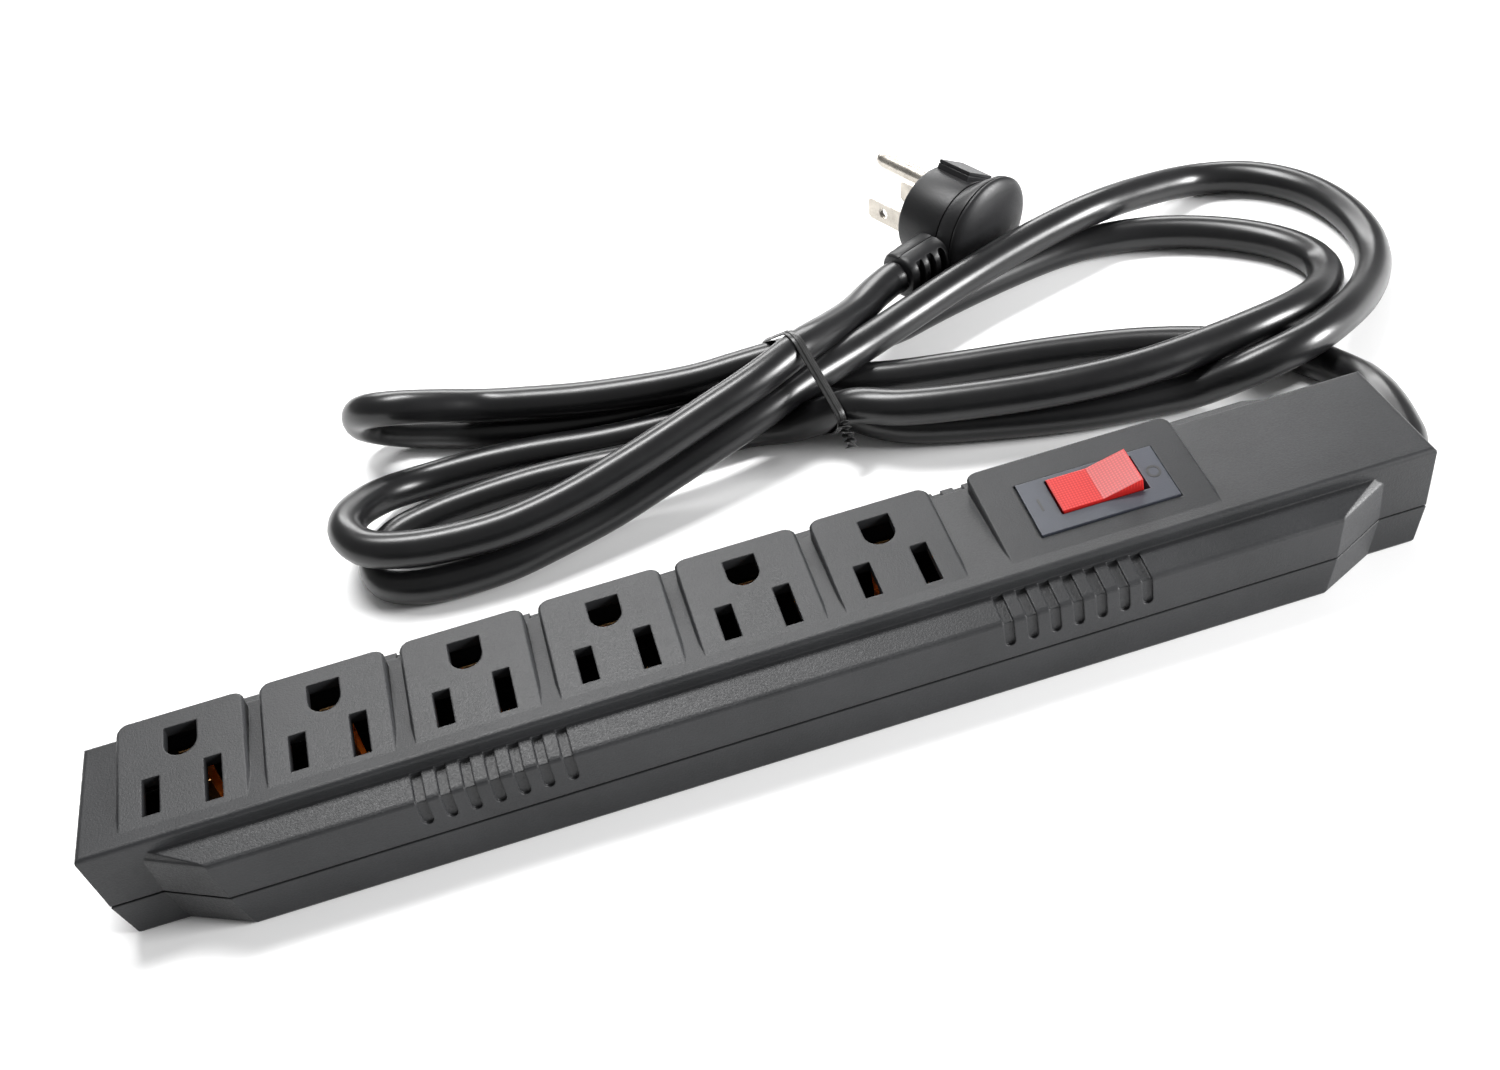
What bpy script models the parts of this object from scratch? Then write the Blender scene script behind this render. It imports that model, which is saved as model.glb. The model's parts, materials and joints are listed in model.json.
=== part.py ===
"""Six-outlet surge protector strip with a lit rocker breaker, a bundled cord and a right-angle plug.

Lengths below are in millimetres; MM turns them into metres when a mesh is made.
The strip lies along X, its cord leaves the +X end, +Y is the back and z = 0 is the floor.
"""

import math

import bmesh
import bpy
from mathutils import Matrix, Vector

MM = 0.001
GAP = 0.3

# Housing: plateau, end faces and parting line
TOP_Z = 24.6
PART_Z = 9.8
PART_GAP = 0.25
HALF_WIDTH = 15.9
END_X_BOTTOM = 139.3
END_X_PART = 141.4
END_X_TOP = 142.8
WALL = 2.3

# Wedge blocks of the outlets and of the switch
WEDGE_HINGE_Y = -12.0
WEDGE_TILT = math.radians(6.96)
BLOCK_BACK_Y = 15.85
BLOCK_WIDTH = 26.8
OUTLET_PITCH = 29.94
OUTLET_FIRST_X = -121.1
OUTLETS = 6
SWITCH_X0 = 50.7
SWITCH_X1 = 97.2

# Slots of one outlet, measured from its centre
SLOT_Y = -5.0
SLOT_OFFSET = 6.35
SLOT_WIDTH = 3.6
HOT_LENGTH = 9.2
NEUTRAL_LENGTH = 11.0
GROUND_WIDTH = 6.9
GROUND_ROUND_Y = 6.8
GROUND_BACK_Y = 11.3

# Grip grooves
GROOVES = 7
GROOVE_PITCH = 4.95
GROOVE_WIDTH = 2.2
GROOVE_CENTRES = (-60.9, 60.6)

# Screws that close the housing
SCREWS = ((-104.0, -18.2), (-104.0, 18.2), (0.0, -18.2), (0.0, 18.2), (104.0, -18.2), (104.0, 18.2))

# Switch, in the plane of its block: u along X, v up the slope from the hinge, w out of the plane
PLATE_U = (59.4, 90.0)
PLATE_V = (4.6, 20.1)
CASE_U = (64.2, 86.2)
CASE_V = (7.4, 19.9)
ROCKER_HOLE_U = (65.4, 85.0)
ROCKER_HOLE_V = (8.55, 18.9)
PIN_U = 75.2
PIN_W = -2.6
ROCKER_TILT = math.radians(8.0)

# Cord
CORD_RADIUS = 4.55
CORD_EXIT_Y = 1.0
CORD_START_X = 122.6
CORD_END = (68.72, 124.42, 11.54)
CORD_POINTS = 78
BEND_WEIGHT = 40.0

# Plug: middle of the blades on its face, direction of the prongs and way up
PLUG_AT = (86.5, 147.5, 12.2)
PRONG_DIRECTION = (-0.443, 0.893, 0.085)
PLUG_UP = (0.104, -0.043, 0.994)
PLUG_RADIUS = 13.3
PLUG_CENTRE_B = 2.9
BLADE_LENGTH = 17.8
GROUND_LENGTH = 21.2
SEAM_DEPTH = 12.8
LIP = 4.2
LIP_TURN = math.radians(45.0)
TAB_TURN = math.radians(62.0)

COLOURS = {
    "housing": ((0.035, 0.036, 0.038), 0.62, 0.0),
    "switch_plate": ((0.05, 0.055, 0.065), 0.5, 0.0),
    "rocker_red": ((0.62, 0.02, 0.015), 0.25, 0.0),
    "brass": ((0.72, 0.48, 0.2), 0.35, 1.0),
    "nickel": ((0.78, 0.74, 0.68), 0.25, 1.0),
    "steel": ((0.6, 0.6, 0.6), 0.35, 1.0),
    "glass": ((0.85, 0.75, 0.65), 0.1, 0.0),
    "board": ((0.08, 0.25, 0.12), 0.5, 0.0),
    "varistor_blue": ((0.05, 0.15, 0.5), 0.4, 0.0),
    "fuse_ceramic": ((0.75, 0.72, 0.66), 0.5, 0.0),
    "cord_jacket": ((0.02, 0.02, 0.021), 0.42, 0.0),
    "grommet_rubber": ((0.022, 0.022, 0.023), 0.6, 0.0),
    "wire_black": ((0.02, 0.02, 0.02), 0.45, 0.0),
    "wire_white": ((0.8, 0.8, 0.78), 0.45, 0.0),
    "wire_green": ((0.05, 0.35, 0.1), 0.45, 0.0),
    "plug_black": ((0.02, 0.02, 0.021), 0.45, 0.0),
    "tie_black": ((0.015, 0.015, 0.015), 0.4, 0.0),
}


def clear_scene():
    for old in list(bpy.data.objects):
        bpy.data.objects.remove(old, do_unlink=True)


def make_collection(name):
    group = bpy.data.collections.new(name)
    bpy.context.scene.collection.children.link(group)
    return group


clear_scene()
PARTS = make_collection("surge_protector_plug")
CUTTERS = make_collection("cutters")
MATERIALS = {}


def material(name):
    if name not in MATERIALS:
        colour, roughness, metallic = COLOURS[name]
        new = bpy.data.materials.new(name)
        new.use_nodes = True
        shader = new.node_tree.nodes["Principled BSDF"]
        shader.inputs["Base Color"].default_value = (*colour, 1.0)
        shader.inputs["Roughness"].default_value = roughness
        shader.inputs["Metallic"].default_value = metallic
        new.diffuse_color = (*colour, 1.0)
        MATERIALS[name] = new
    return MATERIALS[name]


def mesh_object(name, verts, faces, slot, group=None):
    """Make one closed mesh from millimetre points, with its faces turned outwards."""
    mesh = bpy.data.meshes.new(name)
    mesh.from_pydata([Vector(v) * MM for v in verts], [], faces)
    work = bmesh.new()
    work.from_mesh(mesh)
    bmesh.ops.recalc_face_normals(work, faces=work.faces)
    work.to_mesh(mesh)
    work.free()
    made = bpy.data.objects.new(name, mesh)
    if slot:
        mesh.materials.append(material(slot))
        PARTS.objects.link(made)
    else:
        CUTTERS.objects.link(made)
        made.hide_render = True
        made.display_type = "WIRE"
    return made


def combine(name, shapes, slot):
    """One mesh from several shapes that don't touch each other."""
    verts = []
    faces = []
    for shape_verts, shape_faces in shapes:
        start = len(verts)
        verts.extend(shape_verts)
        faces.extend([tuple(i + start for i in face) for face in shape_faces])
    return mesh_object(name, verts, faces, slot)


def smooth(target, degrees=35.0):
    target.data.shade_smooth()
    target.data.set_sharp_from_angle(angle=math.radians(degrees))
    return target


def boolean(target, other, operation):
    change = target.modifiers.new(operation.lower(), "BOOLEAN")
    change.operation = operation
    change.solver = "EXACT"
    change.object = other
    return target


def cut(target, other):
    return boolean(target, other, "DIFFERENCE")


def join(target, other):
    return boolean(target, other, "UNION")


# Shapes: each returns (vertices, faces) in millimetres

def rings(levels):
    """Close a stack of rings that all have the same number of points."""
    count = len(levels[0])
    verts = [point for ring in levels for point in ring]
    faces = [tuple(reversed(range(count)))]
    for level in range(len(levels) - 1):
        low = level * count
        high = low + count
        for i in range(count):
            j = (i + 1) % count
            faces.append((low + i, low + j, high + j, high + i))
    top = (len(levels) - 1) * count
    faces.append(tuple(top + i for i in range(count)))
    return verts, faces


def stacked(levels):
    """Close a stack of plan outlines given as (z, outline)."""
    return rings([[(x, y, z) for x, y in outline] for z, outline in levels])


def box(low, high):
    outline = [(low[0], low[1]), (high[0], low[1]), (high[0], high[1]), (low[0], high[1])]
    return stacked([(low[2], outline), (high[2], outline)])


def circle(centre, radius, count):
    step = 2.0 * math.pi / count
    return [(centre[0] + radius * math.cos(i * step), centre[1] + radius * math.sin(i * step)) for i in range(count)]


def post(centre, sections, count=24):
    """Round post along Z from (z, radius) pairs."""
    return stacked([(z, circle(centre, radius, count)) for z, radius in sections])


def along_x(centre, sections, count=32):
    """Round bar along X from (x, radius) pairs; the centre is (y, z)."""
    levels = []
    for x, radius in sections:
        levels.append([(x, y, z) for y, z in circle(centre, radius, count)])
    return rings(levels)


def along_y(centre, sections, count=24):
    """Round bar along Y from (y, radius) pairs; the centre is (x, z)."""
    levels = []
    for y, radius in sections:
        levels.append([(x, y, z) for x, z in circle(centre, radius, count)])
    return rings(levels)


def rectangle(half_x, half_y):
    return [(half_x, -half_y), (half_x, half_y), (-half_x, half_y), (-half_x, -half_y)]


def shoulder_outline(x_inner, x_outer, y_inner, y_outer):
    """Plan of the wide middle of the housing, with its four angled ends."""
    return [
        (x_inner, -y_inner), (x_inner, y_inner), (x_outer, y_outer), (-x_outer, y_outer),
        (-x_inner, y_inner), (-x_inner, -y_inner), (-x_outer, -y_outer), (x_outer, -y_outer),
    ]


def wedge_z(y):
    return TOP_Z + (y - WEDGE_HINGE_Y) * math.tan(WEDGE_TILT)


def block_outline(x0, x1, y0, y1, radius, inset=0.0, segments=4):
    """Plan of a wedge block: square at the front, rounded at the back."""
    x0 += inset
    x1 -= inset
    y1 -= inset
    radius = max(radius - inset, 0.1)
    points = [(x0, y0), (x1, y0)]
    for i in range(segments + 1):
        angle = math.pi / 2.0 * i / segments
        points.append((x1 - radius + radius * math.cos(angle), y1 - radius + radius * math.sin(angle)))
    for i in range(segments + 1):
        angle = math.pi / 2.0 * (1.0 + i / segments)
        points.append((x0 + radius + radius * math.cos(angle), y1 - radius + radius * math.sin(angle)))
    return points


def wedge_block(x0, x1, y0, y1, radius, bottom, drop=0.0, edge=0.5):
    """Block whose top follows the wedge plane, lowered by drop, with a small bevel round the top."""
    side = block_outline(x0, x1, y0, y1, radius)
    inner = block_outline(x0, x1, y0, y1, radius, edge)
    return rings([
        [(x, y, bottom) for x, y in side],
        [(x, y, wedge_z(y) - drop - edge) for x, y in side],
        [(x, y, wedge_z(y) - drop) for x, y in inner],
    ])


def ground_hole_outline(x):
    """D-shaped plan: round in front, flat at the back."""
    radius = GROUND_WIDTH / 2.0
    points = [(x + radius, GROUND_BACK_Y), (x - radius, GROUND_BACK_Y)]
    for i in range(11):
        angle = math.pi * (1.0 + i / 10.0)
        points.append((x + radius * math.cos(angle), GROUND_ROUND_Y + radius * math.sin(angle)))
    return points


def outlet_centres():
    return [OUTLET_FIRST_X + i * OUTLET_PITCH for i in range(OUTLETS)]


def block_frame():
    """Matrix from (u, v, w) on the wedge plane to the part, in metres."""
    move = Matrix.Translation(Vector((0.0, WEDGE_HINGE_Y, TOP_Z)) * MM)
    return move @ Matrix.Rotation(WEDGE_TILT, 4, "X")


def in_block(shape_object):
    shape_object.matrix_world = block_frame()
    return shape_object


# Housing

def upper_outer():
    core = stacked([
        (PART_Z + PART_GAP, rectangle(END_X_PART, HALF_WIDTH)),
        (23.6, rectangle(END_X_TOP - 0.08, HALF_WIDTH)),
        (24.1, rectangle(END_X_TOP - 0.15, HALF_WIDTH - 0.13)),
        (24.42, rectangle(END_X_TOP - 0.5, HALF_WIDTH - 0.45)),
        (TOP_Z, rectangle(END_X_TOP - 1.0, HALF_WIDTH - 0.95)),
    ])
    shoulder = stacked([
        (PART_Z + PART_GAP, shoulder_outline(132.3, 117.2, 15.0, 23.1)),
        (19.1, shoulder_outline(132.7, 118.4, 15.0, 22.9)),
        (19.7, shoulder_outline(132.7, 118.6, 14.9, 22.65)),
        (20.0, shoulder_outline(132.6, 119.2, 14.7, 22.0)),
        (21.7, shoulder_outline(132.0, 130.6, 14.0, 15.2)),
    ])
    made = mesh_object("upper_housing", *core, "housing")
    join(made, mesh_object("upper_shoulder", *shoulder, None))
    blocks = []
    for x in outlet_centres():
        half = BLOCK_WIDTH / 2.0
        blocks.append(wedge_block(x - half, x + half, -14.0, BLOCK_BACK_Y, 2.5, 20.0))
    blocks.append(wedge_block(SWITCH_X0, SWITCH_X1, -14.0, BLOCK_BACK_Y, 2.5, 20.0))
    join(made, combine("upper_blocks", blocks, None))
    return made


def upper_cavity(made):
    core = stacked([
        (8.0, rectangle(END_X_PART - WALL, HALF_WIDTH - WALL)),
        (TOP_Z - 2.4, rectangle(END_X_TOP - WALL, HALF_WIDTH - WALL)),
    ])
    shoulder = stacked([
        (8.0, shoulder_outline(130.0, 116.0, 12.5, 20.8)),
        (17.7, shoulder_outline(130.4, 117.3, 12.5, 20.6)),
        (19.2, shoulder_outline(130.0, 129.0, 12.0, 13.2)),
    ])
    cut(made, mesh_object("cut_core", *core, None))
    cut(made, mesh_object("cut_shoulder", *shoulder, None))
    blocks = []
    for x in outlet_centres():
        half = BLOCK_WIDTH / 2.0 - 2.2
        blocks.append(wedge_block(x - half, x + half, -8.0, BLOCK_BACK_Y - WALL, 1.0, 21.0, 2.4))
    blocks.append(wedge_block(SWITCH_X0 + 2.2, SWITCH_X1 - 2.2, -8.0, BLOCK_BACK_Y - WALL, 1.0, 21.0, 2.4))
    cut(made, combine("cut_blocks", blocks, None))


def cut_slots(made):
    slots = []
    for x in outlet_centres():
        for offset, length in ((-SLOT_OFFSET, HOT_LENGTH), (SLOT_OFFSET, NEUTRAL_LENGTH)):
            low = (x + offset - SLOT_WIDTH / 2.0, SLOT_Y - length / 2.0, 18.0)
            high = (x + offset + SLOT_WIDTH / 2.0, SLOT_Y + length / 2.0, 32.0)
            slots.append(box(low, high))
        outline = ground_hole_outline(x)
        slots.append(stacked([(18.0, outline), (32.0, outline)]))
    cut(made, combine("cut_slots", slots, None))


def cut_grooves(made):
    """Finger grooves over the front and back shoulder edges, round at their lower end."""
    grooves = []
    for middle in GROOVE_CENTRES:
        for i in range(GROOVES):
            x = middle + (i - (GROOVES - 1) / 2.0) * GROOVE_PITCH
            for side in (-1.0, 1.0):
                grooves.append(groove(x, side))
    cut(made, combine("cut_grooves", grooves, None))


def groove(x, side):
    """Channel down the ledge, over the edge and down the face, with a round lower end."""
    half = GROOVE_WIDTH / 2.0
    section = [(22.4, 14.4), (22.4, 19.2), (16.3, 20.75), (16.3, 27.0), (27.0, 27.0), (27.0, 14.4)]
    count = len(section)
    verts = []
    for px in (x - half, x + half):
        verts.extend([(px, side * y, z) for y, z in section])
    arc = []
    for i in range(1, 6):
        angle = math.pi * (1.0 + i / 6.0)
        arc.append((x + half * math.cos(angle), 14.4 + half * math.sin(angle)))
    first = len(verts)
    size = len(arc)
    verts.extend([(px, side * 22.4, pz) for px, pz in arc])
    verts.extend([(px, side * 27.0, pz) for px, pz in arc])
    faces = [tuple(range(count)), tuple(reversed(range(count, 2 * count)))]
    for i in range(count - 1):
        faces.append((i, i + 1, count + i + 1, count + i))
    inner = [0] + [first + i for i in range(size)] + [count]
    outer = [count - 1] + [first + size + i for i in range(size)] + [2 * count - 1]
    faces.append(tuple(inner))
    faces.append(tuple(outer))
    for i in range(len(inner) - 1):
        faces.append((inner[i], inner[i + 1], outer[i + 1], outer[i]))
    return verts, faces


def screw_towers(low, high, outer, name):
    """Towers for the housing screws, joined into one cutter-free operand."""
    shapes = []
    for centre in SCREWS:
        shapes.append(post(centre, [(low, outer), (high, outer)], 20))
    return combine(name, shapes, None)


def cut_switch(made):
    """Pocket for the face plate and the hole for the breaker behind it."""
    pocket = box((PLATE_U[0] - GAP, PLATE_V[0] - GAP, -0.75), (PLATE_U[1] + GAP, PLATE_V[1] + GAP, 4.0))
    hole = box((CASE_U[0] - GAP, CASE_V[0] - GAP, -7.0), (CASE_U[1] + GAP, CASE_V[1] + GAP, 4.0))
    cut(made, in_block(mesh_object("cut_plate", *pocket, None)))
    cut(made, in_block(mesh_object("cut_breaker", *hole, None)))


def upper_housing():
    made = upper_outer()
    upper_cavity(made)
    join(made, screw_towers(PART_Z + PART_GAP, 18.4, 2.9, "upper_towers"))
    holes = [post(centre, [(8.0, 1.5), (17.0, 1.5)], 16) for centre in SCREWS]
    cut(made, combine("cut_upper_screws", holes, None))
    cut_slots(made)
    cut_grooves(made)
    cut_switch(made)
    exit_hole = along_x((CORD_EXIT_Y, PART_Z), [(134.0, 6.6), (150.0, 6.6)])
    cut(made, mesh_object("cut_exit", *exit_hole, None))
    return smooth(made)


def lower_outer():
    core = stacked([
        (0.0, rectangle(END_X_BOTTOM - 0.7, 14.9)),
        (0.22, rectangle(END_X_BOTTOM - 0.2, 15.4)),
        (0.8, rectangle(END_X_BOTTOM + 0.1, 15.7)),
        (PART_Z - PART_GAP, rectangle(END_X_PART, HALF_WIDTH)),
    ])
    shoulder = stacked([
        (0.0, shoulder_outline(129.9, 114.9, 14.4, 21.9)),
        (0.22, shoulder_outline(130.1, 115.1, 14.8, 22.4)),
        (0.8, shoulder_outline(130.3, 115.3, 14.9, 22.7)),
        (PART_Z - PART_GAP, shoulder_outline(132.3, 117.2, 15.0, 23.1)),
    ])
    made = mesh_object("lower_housing", *core, "housing")
    join(made, mesh_object("lower_shoulder", *shoulder, None))
    return made


def lower_supports():
    """Ribs and posts standing on the floor of the lower housing."""
    shapes = []
    for i in range(OUTLETS - 1):
        x = OUTLET_FIRST_X + (i + 0.5) * OUTLET_PITCH
        shapes.append(box((x - 0.8, -12.4, 1.5), (x + 0.8, 12.2, 3.7)))
    for x in (101.0, 112.6):
        for y in (-9.0, 9.0):
            shapes.append(post((x, y), [(1.5, 1.6), (6.2, 1.6)], 12))
    shapes.append(box((126.5, CORD_EXIT_Y - 10.8, 1.5), (130.5, CORD_EXIT_Y + 10.8, 3.4)))
    return combine("lower_supports", shapes, None)


def lower_housing():
    made = lower_outer()
    core = stacked([
        (2.2, rectangle(END_X_BOTTOM - WALL + 0.2, 13.4)),
        (12.0, rectangle(END_X_PART - WALL, HALF_WIDTH - WALL)),
    ])
    shoulder = stacked([
        (2.2, shoulder_outline(128.0, 114.2, 12.5, 20.5)),
        (12.0, shoulder_outline(130.0, 116.0, 12.5, 20.8)),
    ])
    cut(made, mesh_object("cut_lower_core", *core, None))
    cut(made, mesh_object("cut_lower_shoulder", *shoulder, None))
    join(made, lower_supports())
    join(made, screw_towers(1.4, PART_Z - PART_GAP, 3.7, "lower_towers"))
    holes = [post(centre, [(-1.0, 2.8), (2.9, 2.8), (2.9001, 1.5), (12.0, 1.5)], 20) for centre in SCREWS]
    cut(made, combine("cut_lower_screws", holes, None))
    exit_hole = along_x((CORD_EXIT_Y, PART_Z), [(134.0, 6.6), (150.0, 6.6)])
    cut(made, mesh_object("cut_lower_exit", *exit_hole, None))
    pilots = [post((128.5, CORD_EXIT_Y + side * 8.7), [(1.2, 0.95), (6.0, 0.95)], 12) for side in (-1.0, 1.0)]
    cut(made, combine("cut_clamp_pilots", pilots, None))
    return smooth(made)


def housing_screws():
    for index, centre in enumerate(SCREWS):
        sections = [(0.7, 2.3), (1.1, 2.5), (2.6, 2.5), (2.6001, 1.2), (15.8, 1.2), (16.6, 0.4)]
        smooth(mesh_object(f"housing_screw_{index + 1}", *post(centre, sections, 16), "steel"))


# Contacts

def leaf_pair(x, y0, y1, z0, z1):
    """Two facing spring leaves that grip one blade."""
    return [
        box((x - 1.35, y0, z0), (x - 0.95, y1, z1)),
        box((x + 0.95, y0, z0), (x + 1.35, y1, z1)),
    ]


def hot_bus_bar():
    made = mesh_object("hot_bus_bar", *box((-130.0, -10.6, 4.0), (56.0, -10.1, 9.0)), "brass")
    leaves = []
    for x in outlet_centres():
        leaves.extend(leaf_pair(x - SLOT_OFFSET, -10.4, -1.8, 5.5, 15.0))
    join(made, combine("hot_leaves", leaves, None))
    return made


def neutral_bus_bar():
    made = mesh_object("neutral_bus_bar", *box((-118.0, 0.3, 4.0), (97.5, 0.8, 6.6)), "brass")
    leaves = []
    for x in outlet_centres():
        leaves.extend(leaf_pair(x + SLOT_OFFSET, -8.8, 0.5, 5.5, 15.0))
    join(made, combine("neutral_leaves", leaves, None))
    return made


def ground_bus_bar():
    made = mesh_object("ground_bus_bar", *box((-126.0, 3.4, 4.0), (97.5, 10.2, 4.5)), "brass")
    leaves = []
    for x in outlet_centres():
        leaves.append(box((x - 2.6, 3.7, 4.2), (x + 2.6, 4.1, 17.0)))
        leaves.append(box((x - 2.6, 9.5, 4.2), (x + 2.6, 9.9, 21.6)))
    join(made, combine("ground_leaves", leaves, None))
    return made


# Switch and breaker

def breaker_case():
    plate = box((PLATE_U[0], PLATE_V[0], -0.45), (PLATE_U[1], PLATE_V[1], 0.4))
    body = box((CASE_U[0], CASE_V[0], -14.5), (CASE_U[1], CASE_V[1], 0.1))
    made = in_block(mesh_object("breaker_case", *plate, "switch_plate"))
    join(made, in_block(mesh_object("breaker_body", *body, None)))
    hollow = box((ROCKER_HOLE_U[0], ROCKER_HOLE_V[0], -13.2), (ROCKER_HOLE_U[1], ROCKER_HOLE_V[1], 3.0))
    cut(made, in_block(mesh_object("cut_case", *hollow, None)))
    bore = along_y((PIN_U, PIN_W), [(7.9, 1.25), (19.55, 1.25)], 16)
    cut(made, in_block(mesh_object("cut_pin_bore", *bore, None)))
    slots = [box((u - 0.6, 14.2, -16.0), (u + 0.6, 18.2, -12.0)) for u in (67.6, 75.2, 82.8)]
    cut(made, in_block(combine("cut_terminals", slots, None)))
    return made


def breaker_terminals():
    names = ("breaker_terminal_lamp", "breaker_terminal_load", "breaker_terminal_line")
    for name, u in zip(names, (67.6, 75.2, 82.8)):
        tab = box((u - 0.4, 14.4, -19.4), (u + 0.4, 18.0, -12.4))
        in_block(mesh_object(name, *tab, "brass"))


def rocker():
    """Shallow V, held with its left end down; it turns on the pin."""
    section = [
        (-8.9, 4.85), (-8.6, -1.0), (-4.2, -3.2), (4.2, -3.2), (8.6, -1.0), (8.9, 4.85), (0.0, 3.6),
    ]
    turned = []
    cos_tilt = math.cos(ROCKER_TILT)
    sin_tilt = math.sin(ROCKER_TILT)
    for du, dw in section:
        turned.append((du * cos_tilt - dw * sin_tilt, du * sin_tilt + dw * cos_tilt))
    levels = []
    for v in (ROCKER_HOLE_V[0] + 0.3, ROCKER_HOLE_V[1] - 0.3):
        levels.append([(du, v - 13.725, dw) for du, dw in turned])
    made = mesh_object("rocker", *rings(levels), "rocker_red")
    bore = along_y((0.0, 0.0), [(-8.0, 1.25), (8.0, 1.25)], 16)
    drill = mesh_object("cut_rocker_bore", *bore, None)
    place = block_frame() @ Matrix.Translation(Vector((PIN_U, 13.725, PIN_W)) * MM)
    made.matrix_world = place
    drill.matrix_world = place
    return cut(made, drill)


def switch_inside():
    pin = along_y((PIN_U, PIN_W), [(8.1, 1.0), (19.35, 1.0)], 16)
    smooth(in_block(mesh_object("rocker_pin", *pin, "steel")))
    arm = box((68.6, 11.2, -11.6), (82.0, 16.2, -11.2))
    in_block(mesh_object("bimetal_arm", *arm, "brass"))
    lamp_levels = []
    for u, radius in ((73.0, 0.5), (73.6, 1.4), (80.0, 1.4), (80.6, 0.5)):
        lamp_levels.append([(u, v, w) for v, w in circle((13.7, -8.6), radius, 16)])
    smooth(in_block(mesh_object("neon_lamp", *rings(lamp_levels), "glass")))
    in_block(spring("rocker_spring", (69.6, 13.7), -10.9, -7.0))


def spring(name, centre, low, high):
    """Compression spring wound as one bevelled spiral."""
    turns = 4
    points = []
    for i in range(turns * 12 + 1):
        angle = 2.0 * math.pi * i / 12.0
        height = low + (high - low) * i / (turns * 12.0)
        points.append((centre[0] + 1.6 * math.cos(angle), centre[1] + 1.6 * math.sin(angle), height))
    return tube(name, points, 0.25, "steel", 1)


def tube(name, points, radius, slot, resolution=3, closed=False):
    """Round tube with filled ends along a list of points, or a closed loop."""
    data = bpy.data.curves.new(name, "CURVE")
    data.dimensions = "3D"
    data.bevel_depth = radius * MM
    data.bevel_resolution = resolution
    data.use_fill_caps = True
    line = data.splines.new("POLY")
    line.points.add(len(points) - 1)
    line.use_cyclic_u = closed
    for slot_point, place in zip(line.points, points):
        slot_point.co = (place[0] * MM, place[1] * MM, place[2] * MM, 1.0)
    holder = bpy.data.objects.new(name + "_curve", data)
    bpy.context.scene.collection.objects.link(holder)
    bpy.context.view_layer.update()
    graph = bpy.context.evaluated_depsgraph_get()
    mesh = bpy.data.meshes.new_from_object(holder.evaluated_get(graph))
    work = bmesh.new()
    work.from_mesh(mesh)
    bmesh.ops.remove_doubles(work, verts=work.verts, dist=0.00001)
    bmesh.ops.recalc_face_normals(work, faces=work.faces)
    work.to_mesh(mesh)
    work.free()
    mesh.name = name
    mesh.materials.clear()
    mesh.materials.append(material(slot))
    made = bpy.data.objects.new(name, mesh)
    made.matrix_world = holder.matrix_world
    PARTS.objects.link(made)
    bpy.data.objects.remove(holder, do_unlink=True)
    return smooth(made)


# Surge board and wiring

def surge_board():
    mesh_object("surge_board", *box((98.8, -11.0, 6.4), (114.8, 11.0, 8.0)), "board")
    for index, y in enumerate((-7.0, -0.5, 6.0)):
        disc = along_y((104.2, 13.6), [(y - 1.7, 4.4), (y - 1.2, 5.0), (y + 1.2, 5.0), (y + 1.7, 4.4)], 24)
        smooth(mesh_object(f"varistor_{index + 1}", *disc, "varistor_blue"))
    fuse = along_y((111.9, 10.6), [(-4.5, 1.8), (-4.0, 2.2), (4.0, 2.2), (4.5, 1.8)], 16)
    smooth(mesh_object("thermal_fuse", *fuse, "fuse_ceramic"))


def wires():
    line = [
        (122.3, -1.1, 8.9), (121.2, -1.1, 8.9), (118.8, -4.8, 9.0), (117.4, -10.6, 9.0), (113.5, -13.6, 8.4),
        (99.0, -13.2, 8.2), (90.0, -7.4, 8.2), (84.4, -2.4, 8.2), (82.8, 0.8, 8.2), (82.8, 4.1, 8.2),
    ]
    neutral = [
        (122.3, 1.0, 12.0), (120.9, 1.0, 12.0), (119.0, 0.9, 10.4), (117.6, 0.8, 7.2), (116.0, 0.7, 5.0),
        (112.0, 0.6, 4.5), (98.1, 0.55, 4.5),
    ]
    ground = [
        (122.3, 3.1, 8.9), (121.2, 3.1, 8.9), (118.8, 5.6, 7.6), (117.0, 6.0, 5.4), (114.0, 5.6, 4.4),
        (98.1, 5.4, 4.3),
    ]
    load = [(75.2, 4.1, 8.2), (75.2, 1.0, 8.2), (72.8, -3.4, 8.2), (66.0, -8.6, 7.6), (57.2, -10.3, 6.6)]
    tube("wire_line", line, 1.1, "wire_black", 2)
    tube("wire_neutral", neutral, 1.1, "wire_white", 2)
    tube("wire_ground", ground, 1.1, "wire_green", 2)
    tube("wire_load", load, 1.1, "wire_black", 2)


# Cord, its grommet and clamp

def cord_grommet():
    sections = [(123.4, 5.9), (132.8, 5.9), (132.9, 7.1), (136.6, 7.1), (136.7, 6.3), (142.2, 6.3), (143.2, 5.7)]
    made = mesh_object("cord_grommet", *along_x((CORD_EXIT_Y, PART_Z), sections), "grommet_rubber")
    bore = along_x((CORD_EXIT_Y, PART_Z), [(120.0, CORD_RADIUS + GAP), (150.0, CORD_RADIUS + GAP)])
    cut(made, mesh_object("cut_grommet", *bore, None))
    return smooth(made)


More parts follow.
